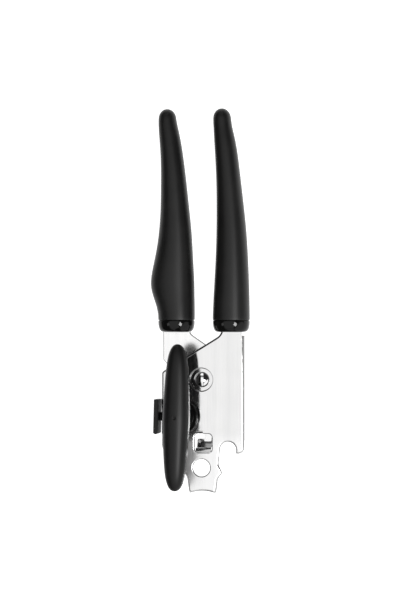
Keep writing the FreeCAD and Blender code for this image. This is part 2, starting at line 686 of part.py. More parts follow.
def knob_wing():
    """Spindle-shaped wing, moulded over the core."""
    half_length = WING_LENGTH / 2
    sections = []
    for turn in range(-84, 85, 12):
        share = math.sin(math.radians(turn) * 90 / 86)
        end = (1 - abs(share) ** WING_END) ** (1 / WING_END_POWER)
        swell = (1 - WING_TAPER * abs(share) ** WING_TAPER_POWER) * end
        up = (WING_TOP - WING_MID) * swell
        down = (WING_MID - WING_BACK) * swell
        half_width = WING_WIDTH / 2 * swell
        sections.append(oval(half_length * share, 0, half_width, WING_MID, up, down, WING_SECTION))
    wing = Part.makeLoft(sections, True, False)
    root = V(0, NIB_ROOT - half_length, WING_MID)
    nib = Part.makeCone(NIB_R, NIB_END_R, NIB_LENGTH, root, V(0, -1, 0))
    wing = wing.fuse(nib)
    wing.rotate(V(0, 0, 0), V(0, 0, 1), WING_TURN)
    wing.translate(V(DRIVE_X, DRIVE_Y, 0))
    wing = wing.cut(knob_stem())
    return wing.cut(rod(DIMPLE_R, WING_TOP - DIMPLE, WING_TOP + PAST, DRIVE_X, DRIVE_Y))


def knob_stem():
    """Neck and stem of the core, which the wing's cavity copies."""
    neck = cone(NECK_R + 1, NECK_R, DISC_FRONT, WING_BACK + 1, DRIVE_X, DRIVE_Y)
    return neck.fuse(rod(CORE_R, WING_BACK, CORE_TOP, DRIVE_X, DRIVE_Y))


def knob_pin():
    """Cross pin that holds the core on the shaft."""
    return pin_rod(CORE_R - PIN_SHORT)


# ---- cutter ----------------------------------------------------------------------------------------------
def cutter_stud():
    """Shoulder stud riveted in the arm, with the cutter's journal at its end."""
    stud = rod(STUD_HEAD_R, ARM_FRONT, ARM_FRONT + STUD_HEAD, CUTTER_X, CUTTER_Y)
    stud = stud.fuse(rod(STUD_R, STUD_END, ARM_FRONT, CUTTER_X, CUTTER_Y))
    stud = stud.fuse(rod(STUD_SHOULDER_R, CUTTER_FRONT + PLAY, ARM_BACK, CUTTER_X, CUTTER_Y))
    screw = rod(SCREW_R, STUD_END, SCREW_FACE + SCREW_LENGTH, CUTTER_X, CUTTER_Y)
    return stud.cut(screw).removeSplitter()


def cutter_wheel():
    """Hardened cutting disc with its edge ground from behind."""
    edge = CUTTER_FRONT - CUTTER_LAND
    wheel = rod(CUTTER_R, edge, CUTTER_FRONT, CUTTER_X, CUTTER_Y)
    wheel = wheel.fuse(cone(CUTTER_R - CUTTER_BEVEL, CUTTER_R, CUTTER_BACK, edge, CUTTER_X, CUTTER_Y))
    bore = rod(STUD_R + RUNNING, CUTTER_BACK - PAST, CUTTER_FRONT + PAST, CUTTER_X, CUTTER_Y)
    return wheel.cut(bore).removeSplitter()


def cutter_washer():
    """Washer under the cutter screw's head."""
    return ring(STUD_SHOULDER_R, SCREW_R, SCREW_FACE, STUD_END, CUTTER_X, CUTTER_Y)


def cutter_screw():
    """Slotted screw that closes the cutter stud."""
    head = rod(SCREW_HEAD_R, REST_PLANE, SCREW_FACE, CUTTER_X, CUTTER_Y)
    low_rim = [e for e in head.Edges if e.BoundBox.ZMax < REST_PLANE + 0.01]
    head = head.makeFillet(SCREW_ROUND, low_rim)
    half_length = SCREW_HEAD_R + PAST
    slot = block(-half_length, half_length, -SLOT_WIDTH / 2, SLOT_WIDTH / 2, -PAST, SLOT_DEPTH)
    slot.translate(V(CUTTER_X, CUTTER_Y, REST_PLANE))
    shank = rod(SCREW_R, SCREW_FACE, SCREW_FACE + SCREW_LENGTH, CUTTER_X, CUTTER_Y)
    return head.cut(slot).fuse(shank).removeSplitter()


# ---- wall rest -------------------------------------------------------------------------------------------
REST_Y = REST_TOP - REST_LENGTH / 2


def rest_rivet_hole():
    """Hole for the rest's rivet through the flange."""
    return Part.makeCylinder(REST_RIVET_R, 10, V(BODY_LEFT - 6, REST_Y, REST_Z), V(1, 0, 0))


def wall_rest_pad():
    """Black pad on the left flange, which keeps the can's wall at the right distance."""
    right = BODY_LEFT - REST_BOSS
    left = right - REST_THICK
    tip = REST_TOP - REST_LENGTH
    section = rounded_face(
        (
            (left, REST_TOP, REST_ROUND),
            (left, tip + REST_POINT, REST_ROUND),
            ((left + right) / 2, tip, REST_ROUND),
            (right, tip + REST_POINT, REST_ROUND),
            (right, REST_TOP, REST_ROUND),
        ),
        REST_BACK,
    )
    pad = section.extrude(V(0, 0, REST_FRONT - REST_BACK))
    pad.rotate(V((left + right) / 2, REST_Y, 0), V(0, 0, 1), -REST_TILT)
    start = V(BODY_LEFT, REST_Y, REST_Z)
    boss = Part.makeCylinder(REST_BOSS_R, REST_BOSS + REST_THICK / 2, start, V(-1, 0, 0))
    pad = pad.fuse(boss)
    return pad.cut(rest_rivet(0)).removeSplitter()


def rest_rivet(head_length):
    """Rivet from inside the flange into the pad, with or without its head."""
    shank_end = BODY_LEFT - REST_BOSS - REST_THICK / 2
    inside = BODY_LEFT + PLATE
    rivet = Part.makeCylinder(REST_RIVET_R, inside - shank_end, V(shank_end, REST_Y, REST_Z), V(1, 0, 0))
    if not head_length:
        return rivet
    start = V(inside, REST_Y, REST_Z)
    head = Part.makeCone(REST_HEAD_R, REST_HEAD_R - HEAD_TAPER, head_length, start, V(1, 0, 0))
    return rivet.fuse(head).removeSplitter()


# ---- assembly --------------------------------------------------------------------------------------------
left_core, left_grip = handle_halves(LEFT_STATIONS, TIP_LEFT, LEFT_TANG_MIDDLE, ARM_BACK, ARM_FRONT)
right_core, right_grip = handle_halves(RIGHT_STATIONS, TIP_RIGHT, RIGHT_TANG_MIDDLE, -PLATE, 0)
body = body_plate()
arm = arm_plate()

pieces = {
    "body_plate": body,
    "right_handle_core": right_core.cut(body),
    "right_grip": right_grip,
    "right_tang_pins": tang_pins(RIGHT_TANG_MIDDLE),
    "pivot_rivet": pivot_rivet(),
    "pivot_washer": pivot_washer(),
    "pivot_back_washer": pivot_back_washer(),
    "drive_bushing": drive_bushing(),
    "wall_rest_pad": wall_rest_pad(),
    "wall_rest_rivet": rest_rivet(REST_HEAD),
    "arm_plate": arm,
    "left_handle_core": left_core.cut(arm),
    "left_grip": left_grip,
    "left_tang_pins": tang_pins(LEFT_TANG_MIDDLE),
    "cutter_stud": cutter_stud(),
    "cutter_wheel": cutter_wheel(),
    "cutter_washer": cutter_washer(),
    "cutter_screw": cutter_screw(),
    "knob_core": knob_core(),
    "knob_wing": knob_wing(),
    "knob_pin": knob_pin(),
    "knob_washer": knob_washer(),
    "drive_shaft": drive_shaft(),
    "feed_wheel": feed_wheel(),
    "feed_washer": feed_washer(),
}

bounds = Part.makeCompound(list(pieces.values())).optimalBoundingBox(False)
origin = V(bounds.Center.x, bounds.Center.y, bounds.ZMin)
os.makedirs("parts", exist_ok=True)
for name, shape in pieces.items():
    shape.translate(-origin)
    shape.exportStep(f"parts/{name}.step")
    print(f"{name:20s} solids {len(shape.Solids)}  volume {shape.Volume:9.1f} mm3  valid {shape.isValid()}")
print("size", round(bounds.XLength, 2), round(bounds.YLength, 2), round(bounds.ZLength, 2))
for name, x, y in (("pivot", 0, 0), ("drive", DRIVE_X, DRIVE_Y), ("cutter", CUTTER_X, CUTTER_Y)):
    print(name, round(x - origin.x, 4), round(y - origin.y, 4))
print("plate front at z", round(-origin.z, 4))
print("hanging hole", round(HANG_X - origin.x, 4), round(HANG_Y - origin.y, 4))
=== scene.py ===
# %% [markdown]
# # A manual can opener
# The opener is two steel plates that swing on one domed rivet. Each plate ends in a black handle. The front
# plate, the body, carries the long knob, its shaft and a toothed feed wheel. The plate behind it, the arm,
# carries a free-turning cutting wheel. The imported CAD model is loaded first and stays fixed. The place and
# the outer size of every piece below are read from it, and only small details have their own named sizes.

import json
import math

import bmesh
import bpy
from mathutils import Matrix, Vector


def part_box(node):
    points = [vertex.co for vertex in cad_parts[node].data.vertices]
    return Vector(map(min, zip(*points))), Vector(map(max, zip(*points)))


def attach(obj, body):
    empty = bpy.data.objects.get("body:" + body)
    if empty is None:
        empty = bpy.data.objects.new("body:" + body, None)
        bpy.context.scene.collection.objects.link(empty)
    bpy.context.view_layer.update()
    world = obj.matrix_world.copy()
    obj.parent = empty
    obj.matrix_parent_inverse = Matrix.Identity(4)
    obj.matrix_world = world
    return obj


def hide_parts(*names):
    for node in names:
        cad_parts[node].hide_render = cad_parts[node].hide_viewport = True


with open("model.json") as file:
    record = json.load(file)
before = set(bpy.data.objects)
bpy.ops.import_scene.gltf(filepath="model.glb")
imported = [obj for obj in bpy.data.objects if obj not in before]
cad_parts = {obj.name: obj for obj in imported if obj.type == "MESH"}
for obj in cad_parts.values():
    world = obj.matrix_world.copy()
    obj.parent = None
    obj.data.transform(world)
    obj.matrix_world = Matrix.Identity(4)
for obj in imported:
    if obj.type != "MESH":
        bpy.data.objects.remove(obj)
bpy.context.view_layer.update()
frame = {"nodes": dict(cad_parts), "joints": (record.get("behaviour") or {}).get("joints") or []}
MM = 0.001
BUSHING_FLANGE = 1.2 * MM          # the bushing's flange stands on the body plate's front face
joints = {joint["name"]: Vector(joint["pos_m"]) for joint in frame["joints"]}
PIVOT = joints["arm_pivot"]
DRIVE = joints["knob_turn"]
CUTTER = joints["cutter_spin"]
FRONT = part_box("drive_bushing")[1].z - BUSHING_FLANGE

# %% [markdown]
# ## Writing shader maths as Python
# A material is a network of small sums. Drawn by hand it is a tangle of Math nodes. Here one small class
# wraps a socket and gives it Python's operators, so that `0.4 + grain * 0.2` adds the nodes by itself. A
# second class holds a node tree and has a single method that adds any other node. A third builds on it for
# materials, with shortcuts for noise, blends and bumps.

# %% A socket that understands arithmetic
MIX_COLOUR_INPUTS = (0, 6, 7)      # its factor and two colours, among number and vector sockets
MIX_COLOUR_OUTPUT = 2


class Signal:
    """One output socket of a material, on which Python arithmetic adds Math nodes."""

    def __init__(self, finish, socket):
        self.finish = finish
        self.socket = socket

    def math(self, operation, first, second=0.0):
        return self.finish.node("ShaderNodeMath", {"operation": operation}, {0: first, 1: second})

    def __add__(self, other):
        return self.math("ADD", self, other)

    def __radd__(self, other):
        return self.math("ADD", other, self)

    def __sub__(self, other):
        return self.math("SUBTRACT", self, other)

    def __rsub__(self, other):
        return self.math("SUBTRACT", other, self)

    def __mul__(self, other):
        return self.math("MULTIPLY", self, other)

    def __rmul__(self, other):
        return self.math("MULTIPLY", other, self)

    def __neg__(self):
        return self.math("MULTIPLY", self, -1.0)

    def clamp(self):
        return self.finish.node("ShaderNodeClamp", {}, {"Value": self})

    def ramp(self, low, high):
        """0 where the signal is at low, 1 at high, smooth between them."""
        inputs = {"Value": self, "From Min": low, "From Max": high}
        return self.finish.node("ShaderNodeMapRange", {"interpolation_type": "SMOOTHSTEP"}, inputs)


class Finish:
    """One node tree: a material's, or the world's."""

    def __init__(self, tree):
        self.tree = tree

    def node(self, kind, settings, inputs, output=0):
        """Adds a node: its settings first, then the value or link of each of its sockets."""
        made = self.tree.nodes.new(kind)
        for name, value in settings.items():
            setattr(made, name, value)
        for name, value in inputs.items():
            if isinstance(value, Signal):
                self.tree.links.new(value.socket, made.inputs[name])
            else:
                made.inputs[name].default_value = value
        return Signal(self, made.outputs[output])

    def part(self, vector, axis):
        """One component of a vector signal: X, Y or Z."""
        return self.node("ShaderNodeSeparateXYZ", {}, {"Vector": vector}, axis)


class Material(Finish):
    """A Principled material on Object coordinates, with its constants set on the shader itself."""

    def __init__(self, name, constants):
        self.material = bpy.data.materials.new(name)
        self.material.use_nodes = True
        super().__init__(self.material.node_tree)
        self.shader = self.tree.nodes["Principled BSDF"]
        for socket, value in constants.items():
            self.shader.inputs[socket].default_value = value
        self.place = self.node("ShaderNodeTexCoord", {}, {}, "Object")

    def stretched(self, scale, centre=(0, 0, 0), turn=(0, 0, 0)):
        """Object coordinates in metres, moved, turned and then scaled by a factor along each axis."""
        inputs = {"Vector": self.place, "Location": [-c for c in centre]}
        moved = self.node("ShaderNodeMapping", {}, inputs)
        return self.node("ShaderNodeMapping", {}, {"Vector": moved, "Rotation": turn, "Scale": scale})

    def noise(self, scale, detail=3.0, roughness=0.5, where=None):
        """Fractal noise from 0 to 1."""
        inputs = {"Vector": where or self.place, "Scale": scale, "Detail": detail, "Roughness": roughness}
        return self.node("ShaderNodeTexNoise", {}, inputs, "Fac")

    def blend(self, share, low, high):
        """Mix of two colours, 0 for the first and 1 for the second."""
        factor, first, second = MIX_COLOUR_INPUTS
        inputs = {factor: share, first: low, second: high}
        return self.node("ShaderNodeMix", {"data_type": "RGBA"}, inputs, MIX_COLOUR_OUTPUT)

    def feed(self, socket, signal):
        """Links a signal to one of the shader's sockets."""
        self.tree.links.new(signal.socket, self.shader.inputs[socket])

    def bump(self, height, strength, distance):
        """Raises the surface's shading by a height signal; distance is in metres."""
        inputs = {"Height": height, "Strength": strength, "Distance": distance}
        self.feed("Normal", self.node("ShaderNodeBump", {}, inputs, "Normal"))


def grey(value, warmth=0.0):
    """A near-neutral colour; warmth lifts red a little over blue."""
    return (value * (1 + warmth), value, value * (1 - warmth), 1.0)


print("shader classes ready")

# %% [markdown]
# ## Steel
# The two plates are pressed from polished stainless sheet. Sheet has a grain from rolling: very fine lines
# that run along the strip, here along the handles. The lines change how sharp a reflection is more than
# they change colour, so the same stretched noise drives roughness and a tiny bump. Larger, weaker noise
# stands for finger marks. Where the sheet was cut nothing polished it, so its steep sides are matt; they
# are also painted dark, a painted shade that draws a thin line round every hole. The surface's own normal
# says how steep it is. The turned and the ground parts have rings instead of lines.

# %% Steel finishes
SHEET_LINES = (2600, 34, 2600)     # scale of the rolling lines: fine across, long along Y
SHEET_CLOUD = (160, 9, 160)
SCRATCH_LINES = (900, 140, 900)
LATHE_RINGS = 5200
GRAIN_DEPTH = 0.04 * MM
SCRATCH_DEPTH = 0.03 * MM
CUT_SHADE_TONE = 0.13                    # painted shade: a sheared side is coloured dark beside the polished face
CUT_ROUGH = 0.22                   # and this much rougher
CUT_FLAT = 0.8                     # a face starts to count as a side where its normal rises less than this
CUT_STEEP = 0.5                    # and counts fully here
DULL_ROUGH = 0.2                   # handled steel at the tail is this much rougher
DULL_FADE = 12 * MM
SKIN = (0.3 * MM, 0.1 * MM)        # the front face's skin fades in between these depths


def brushed_steel(name, tone, gloss, grain, cut_from=None, dull_below=None):
    """Polished sheet: gloss is its lowest roughness, grain how deep its lines are.

    A sheared side higher than cut_from is rough, and its colour is darkened as a painted shade line. The
    front is duller where y is under dull_below.
    """
    steel = Material(name, {"Metallic": 1.0, "Specular IOR Level": 0.5})
    lines = steel.noise(1.0, 4.0, 0.6, steel.stretched(SHEET_LINES))
    broad = steel.noise(1.0, 2.0, 0.5, steel.stretched(SHEET_CLOUD))
    marks = steel.noise(85.0, 3.0)
    shade = (0.55 * broad + 0.3 * lines + 0.15 * marks).ramp(0.3, 0.7)
    face = steel.blend(shade, grey(tone - 0.045), grey(tone + 0.03, 0.004))
    rough = gloss + grain * 0.11 * lines + 0.06 * marks.ramp(0.45, 0.75)
    if cut_from is not None:
        # cut marks the sheared sides: they are made rougher, and their colour is darkened as painted shade
        upright = steel.part(steel.node("ShaderNodeTexCoord", {}, {}, "Normal"), "Z")
        side = 1 - upright.math("ABSOLUTE", upright).ramp(CUT_STEEP, CUT_FLAT)
        cut = side * steel.part(steel.place, "Z").ramp(cut_from, cut_from + 0.1 * MM)
        # painted shade: dark colour on the sheared sides, which draws the edge lines
        face = steel.blend(cut * (0.75 + 0.25 * marks), face, grey(CUT_SHADE_TONE))
        rough = rough + CUT_ROUGH * cut
    if dull_below is not None:
        deep, shallow = SKIN
        front = steel.part(steel.place, "Z").ramp(FRONT - deep, FRONT - shallow)
        tail = 1 - steel.part(steel.place, "Y").ramp(dull_below - DULL_FADE, dull_below)
        rough = rough + DULL_ROUGH * front * tail
    steel.feed("Base Color", face)
    steel.feed("Roughness", rough)
    steel.bump(lines, 0.06 * grain, GRAIN_DEPTH)
    return steel.material


def turned_steel(name, tone, gloss, centre):
    """Lathe-turned or ground steel: fine rings about a part's own axis."""
    steel = Material(name, {"Metallic": 1.0})
    offset = steel.stretched((1, 1, 0), centre=centre)
    radius = steel.node("ShaderNodeVectorMath", {"operation": "LENGTH"}, {0: offset}, "Value")
    rings = steel.noise(1.0, 3.0, 0.6, steel.node("ShaderNodeCombineXYZ", {}, {0: radius * LATHE_RINGS}))
    cloud = steel.noise(420.0, 3.0)
    steel.feed("Base Color", steel.blend(cloud.ramp(0.35, 0.7), grey(tone - 0.07), grey(tone + 0.03)))
    steel.feed("Roughness", gloss + 0.14 * rings + 0.07 * cloud)
    steel.bump(rings, 0.12, GRAIN_DEPTH)
    return steel.material


def polished_steel(name, tone):
    """Mirror-bright dome of a tumbled rivet, with a few fine scratches."""
    steel = Material(name, {"Metallic": 1.0})
    scratches = steel.noise(1.0, 4.0, 0.7, steel.stretched(SCRATCH_LINES, turn=(0, 0, 0.6)))
    cloud = steel.noise(600.0, 2.0)
    steel.feed("Base Color", steel.blend(cloud, grey(tone - 0.05), grey(tone + 0.02)))
    steel.feed("Roughness", 0.05 + 0.09 * scratches.ramp(0.55, 0.8))
    steel.bump(scratches, 0.03, SCRATCH_DEPTH)
    return steel.material


SHEET_BACK = FRONT - 1.6 * MM      # just behind the body plate's thickness
TAIL_FROM = PIVOT.y - 24 * MM
body_steel = brushed_steel("body_steel", 0.63, 0.05, 0.6, SHEET_BACK, TAIL_FROM)
arm_steel = brushed_steel("arm_steel", 0.72, 0.12, 1.0, 0.0)
rivet_steel = polished_steel("rivet_steel", 0.72)
drive_steel = turned_steel("drive_steel", 0.5, 0.2, DRIVE)
pivot_steel = turned_steel("pivot_steel", 0.55, 0.22, PIVOT)
cutter_steel = turned_steel("cutter_steel", 0.6, 0.14, CUTTER)
pin_steel = brushed_steel("pin_steel", 0.52, 0.24, 0.6)
print("steels", [m.name for m in bpy.data.materials if "steel" in m.name])

# %% [markdown]
# ## Black plastics
# Five blacks make the opener look real, and they differ in how they scatter light, not in colour. The grips
# are a soft-touch rubber with a very fine matt grain. The collars and the knob's base are a hard, glossy
# plastic with a faint orange-peel ripple. The knob's wing is a little shinier than the grips, and the wall
# rest and the nylon washer are duller.

# %% Plastic and rubber finishes
PLASTIC_IOR = 1.48


def moulded(name, tone, roughness, spread, grain_scale, grain_depth, gloss):
    """A moulded black: mottled colour, roughness that wanders by spread, and a moulding grain.

    gloss is the shader's specular level, 0.5 for bare plastic and less for a sooty one.
    """
    plastic = Material(name, {"IOR": PLASTIC_IOR, "Specular IOR Level": gloss})
    cloud = plastic.noise(70.0, 4.0, 0.6)
    dust = plastic.noise(900.0, 2.0, 0.7).ramp(0.66, 0.8)
    grain = plastic.noise(grain_scale, 2.0, 0.6)
    shade = (0.75 * cloud.ramp(0.3, 0.7) + 0.25 * dust).clamp()
    plastic.feed("Base Color", plastic.blend(shade, grey(tone), grey(tone * 1.7, 0.03)))
    plastic.feed("Roughness", roughness + spread * (cloud - 0.5) + 0.05 * dust)
    plastic.bump(grain, 0.35, grain_depth)
    return plastic.material


soft_black = moulded("soft_black", 0.0038, 0.42, 0.08, 4200.0, 0.03 * MM, 0.25)
gloss_black = moulded("gloss_black", 0.003, 0.06, 0.03, 500.0, 0.01 * MM, 0.19)
knob_black = moulded("knob_black", 0.0038, 0.4, 0.07, 3600.0, 0.03 * MM, 0.2)
pad_black = moulded("pad_black", 0.006, 0.5, 0.1, 2600.0, 0.04 * MM, 0.2)
nylon_black = moulded("nylon_black", 0.004, 0.55, 0.08, 1500.0, 0.02 * MM, 0.08)
print("blacks", [m.name for m in bpy.data.materials if "black" in m.name])

# %% [markdown]
# ## Turning a mesh into a finished piece
# Every piece ends the same way: its mesh is closed, its faces point outwards, its object sits at the origin
# with its place in the mesh, it rides on a body of the frame, and the CAD node it stands for is hidden.

# %% Finishing a piece
WELD = 0.002 * MM                  # vertices nearer than this are one
SMOOTH_LEVELS = 2
BEVEL_SEGMENTS = 2
BEVEL_FROM = math.radians(40.0)    # edges sharper than this are bevelled


def finished(name, bm, material, body, node, smooth_angle=35.0):
    """Makes the object with its material, marks edges sharper than smooth_angle, ties it to its body and
    hides its CAD node.
    """
    bmesh.ops.remove_doubles(bm, verts=bm.verts, dist=WELD)
    bm.normal_update()
    for face in bm.faces:
        face.smooth = True
    for edge in bm.edges:
        if len(edge.link_faces) == 2:
            edge.smooth = edge.calc_face_angle() < math.radians(smooth_angle)
    mesh = bpy.data.meshes.new(name)
    bm.to_mesh(mesh)
    bm.free()
    piece = bpy.data.objects.new(name, mesh)
    bpy.context.scene.collection.objects.link(piece)
    mesh.materials.append(material)
    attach(piece, body)
    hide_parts(node)
    print(f"{name}: {len(mesh.polygons)} faces on {body}")
    return piece


def smoothed(piece):
    """Subdivision Surface, the same in the view and in the render."""
    modifier = piece.modifiers.new("Subdivision", "SUBSURF")
    modifier.levels = SMOOTH_LEVELS
    modifier.render_levels = SMOOTH_LEVELS
    return piece


def eased(piece, width):
    """Small bevel on hard edges, because no real edge is perfectly sharp, and flat faces kept flat."""
    bevel = piece.modifiers.new("Bevel", "BEVEL")
    bevel.width = width
    bevel.segments = BEVEL_SEGMENTS
    bevel.limit_method = "ANGLE"
    bevel.angle_limit = BEVEL_FROM
    weighted = piece.modifiers.new("Weighted normals", "WEIGHTED_NORMAL")
    weighted.keep_sharp = True
    weighted.weight = 100
    return piece


# %% [markdown]
# ## Body and arm: pressed sheet
# The body starts as a flat blank. A press turns its edge back all round for stiffness, sinks a dish for the
# rivet, pierces the window, the hanging hole and the bottle-opener notch, and bends two small tabs back in
# the window. The CAD solid already has each of those bends, so a copy of its mesh is taken, its loose
# triangles are merged and its flat faces joined. What the copy adds is what a press leaves on every cut: a
# small rounded edge that catches light.

# %% Sheet-metal pieces from the CAD solids
FLAT_WITHIN = math.radians(0.4)    # neighbouring triangles this nearly in one plane are joined


def merged_copy(node):
    """The CAD node's triangles as one connected mesh, with coplanar ones dissolved."""
    bm = bmesh.new()
    bm.from_mesh(frame["nodes"][node].data)
    bmesh.ops.remove_doubles(bm, verts=bm.verts, dist=WELD)
    bmesh.ops.dissolve_limit(bm, angle_limit=FLAT_WITHIN, verts=bm.verts, edges=bm.edges)
    return bm


def pressed(node, material, body, edge=0.18 * MM):
    """A sheet-metal piece: the merged CAD copy with its sharp edges eased."""
    piece = finished(node + "_piece", merged_copy(node), material, body, node)
    return eased(piece, edge)


pressed("body_plate", body_steel, "body")
pressed("arm_plate", arm_steel, "arm")
pressed("wall_rest_pad", pad_black, "body", 0.25 * MM)

# %% [markdown]
# ## Handles: a hard core in a soft sleeve
# Each handle is a hard plastic core, of which only the glossy collar shows, with a soft grip moulded over
# it. Both are long forms whose section changes slowly, so they are lofted: a row of rings is made, each one
# a circle pulled into a rounded oval, and neighbouring rings are bridged. The width and middle of each ring
# are measured on the CAD solid by slicing it, so the grip follows the frame however the frame changes.

# %% Slicing the CAD solid and lofting through rings
HANDLE_RING = 28                   # vertices round a handle
SECTION_POWER = 2.3                # 2 is an ellipse, and more is squarer
GRIP_WALL = 2.4 * MM
SEAM = 0.18 * MM                   # shallow groove where the soft grip meets the glossy collar
STEM_GAP = 0.1 * MM                # between the core's stem and the grip's inside
SMOOTH_ALL = 75.0                  # only edges sharper than this stay sharp on a handle


def slices(node, places):
    """Middle and half size, across and through, of a CAD node at each place along Y."""
    source = bmesh.new()
    source.from_mesh(frame["nodes"][node].data)
    measured = []
    for y in places:
        cut = source.copy()
        geometry = cut.verts[:] + cut.edges[:] + cut.faces[:]
        result = bmesh.ops.bisect_plane(cut, geom=geometry, plane_co=(0, y, 0), plane_no=(0, 1, 0))
        points = [item.co for item in result["geom_cut"] if isinstance(item, bmesh.types.BMVert)]
        low = Vector((min(p.x for p in points), 0, min(p.z for p in points)))
        high = Vector((max(p.x for p in points), 0, max(p.z for p in points)))
        measured.append((y, (low + high) / 2, (high - low) / 2))
        cut.free()
    source.free()
    return measured


def oval_ring(bm, y, middle, half):
    """One ring of a loft: a circle drawn in the plane at y and pulled into a superellipse."""
    made = bmesh.ops.create_circle(bm, cap_ends=False, segments=HANDLE_RING, radius=1.0)
    for vert in made["verts"]:
        across = math.copysign(abs(vert.co.x) ** (2 / SECTION_POWER), vert.co.x)
        up = math.copysign(abs(vert.co.y) ** (2 / SECTION_POWER), vert.co.y)
        vert.co = (middle.x + half.x * across, y, middle.z + half.z * up)
    return made["verts"]


def ring_edges(ring):
    """Edges that join a ring's own vertices."""
    members = set(ring)
    return {edge for vert in ring for edge in vert.link_edges if set(edge.verts) <= members}


def loft(bm, rings):
    """Bridges each ring to the next and closes both ends with a small dome's pole."""
    loops = [ring_edges(ring) for ring in rings]
    for first, second in zip(loops, loops[1:]):
        bmesh.ops.bridge_loops(bm, edges=list(first | second))
    for loop in (loops[0], loops[-1]):
        cap = bmesh.ops.contextual_create(bm, geom=list(loop))["faces"]
        bmesh.ops.poke(bm, faces=cap)
    bmesh.ops.recalc_face_normals(bm, faces=bm.faces)


def shrunk(half, by):
    """A section's half size, reduced all round."""
    return Vector((half.x - by, 0, half.z - by))


# %% The two grips
SWELL_PLACES = (0.002, 0.03, 0.07, 0.11, 0.15, 0.19, 0.23, 0.28, 0.34)
SHAFT_PLACES = (0.4, 0.47, 0.54, 0.61, 0.68, 0.75, 0.81, 0.86, 0.9, 0.935, 0.955)
HOLLOW_SHARE = 0.8                 # the sleeve is hollow over this share of its length
TIP_TURNS = (22, 42, 58, 71, 82)   # rings of the rounded tip, degrees up its quarter circle
TIP_SLICE = 0.05 * MM
MOUTH_FOLD = ((0, GRIP_WALL), (0, SEAM * 3), (0.1 * MM, SEAM), (0.4 * MM, 0))  # along, and inset


def grip_tip(node, tip):
    """Middle of the very end of a grip, from the CAD solid's last hair's breadth."""
    (_, middle, _), = slices(node, [tip - TIP_SLICE])
    return middle


def grip(side, body):
    """Soft sleeve: inside wall up to its closed end, folded over at the mouth and out along the handle."""
    node = side + "_grip"
    low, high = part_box(node)
    mouth, tip = low.y, high.y
    reach = tip - mouth
    sections = slices(node, [mouth + reach * share for share in SWELL_PLACES + SHAFT_PLACES])
    bm = bmesh.new()
    rings = []
    inside_end = mouth + reach * HOLLOW_SHARE
    for y, middle, half in reversed([s for s in sections if s[0] < inside_end]):
        rings.append(oval_ring(bm, y, middle, shrunk(half, GRIP_WALL)))
    _, middle, half = sections[0]
    for along, inset in MOUTH_FOLD:
        rings.append(oval_ring(bm, mouth + along, middle, shrunk(half, inset)))
    for y, middle, half in sections[1:]:
        rings.append(oval_ring(bm, y, middle, half))
    last_y, last_middle, last_half = sections[-1]
    end = grip_tip(node, tip)
    for turn in TIP_TURNS:
        along = math.sin(math.radians(turn))
        narrow = math.cos(math.radians(turn))
        y = last_y + (tip - last_y) * along
        rings.append(oval_ring(bm, y, last_middle.lerp(end, along), last_half * narrow))
    loft(bm, rings)
    return smoothed(finished(node + "_piece", bm, soft_black, body, node, SMOOTH_ALL))


grip("left", "arm")
grip("right", "body")

# %% [markdown]
# ## Collars
# The collar is the part of the hard core that the grip leaves bare. Its lower end is rounded like a river
# stone and the plate runs up into it. The core goes on inside the grip as a slimmer stem, so one loft makes
# both: up the rounded end, along the collar, a step in at the mouth of the grip, and on along the stem.

# %% The two handle cores
COLLAR_CROWN = 3.0 * MM            # how far the collar's lower end is drawn in
COLLAR_POWER = 2.6
COLLAR_PLACES = (1.0, 0.995, 0.97, 0.92, 0.84, 0.73, 0.6, 0.45, 0.3, 0.16)
COLLAR_SLICE = 0.3 * MM            # its section is measured this far below the grip's mouth
STEM_PLACES = (0, 0.25, 0.5, 0.75, 1)
STEM_START = 1 * MM                # inside the grip's mouth
STEM_END = 2 * MM                  # short of the core's end
COLLAR_TOP = ((-0.5 * MM, 0), (-0.12 * MM, SEAM), (0, SEAM * 3), (0, GRIP_WALL + STEM_GAP))


def handle_core(side, body):
    """Collar and stem in one loft."""
    node = side + "_handle_core"
    low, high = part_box(node)
    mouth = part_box(side + "_grip")[0].y
    (_, middle, half), = slices(node, [mouth - COLLAR_SLICE])
    bm = bmesh.new()
    rings = []
    length = mouth - low.y
    for share in COLLAR_PLACES:
        inset = COLLAR_CROWN * (1 - (1 - share**COLLAR_POWER) ** (1 / COLLAR_POWER))
        rings.append(oval_ring(bm, mouth - length * share, middle, shrunk(half, inset)))
    for beyond, inset in COLLAR_TOP:
        rings.append(oval_ring(bm, mouth + beyond, middle, shrunk(half, inset)))
    stem_from = mouth + STEM_START
    stem_length = high.y - STEM_END - stem_from
    for y, middle, half in slices(node, [stem_from + stem_length * share for share in STEM_PLACES]):
        rings.append(oval_ring(bm, y, middle, shrunk(half, STEM_GAP)))
    loft(bm, rings)
    return smoothed(finished(node + "_piece", bm, gloss_black, body, node, SMOOTH_ALL))


handle_core("left", "arm")
handle_core("right", "body")

# %% [markdown]
# ## The knob's wing
# The wing is a spindle about 80 mm long. It is moulded in two halves, and where they meet a thin ledge runs
# round it: a bright hairline in most light. The loft is the grips' loft laid along the wing, with the lower
# half of each ring a little wider than the upper half and the two loops of that ledge creased so that
# subdivision keeps them sharp. A small sunk mark in the middle is where the plastic entered the mould.

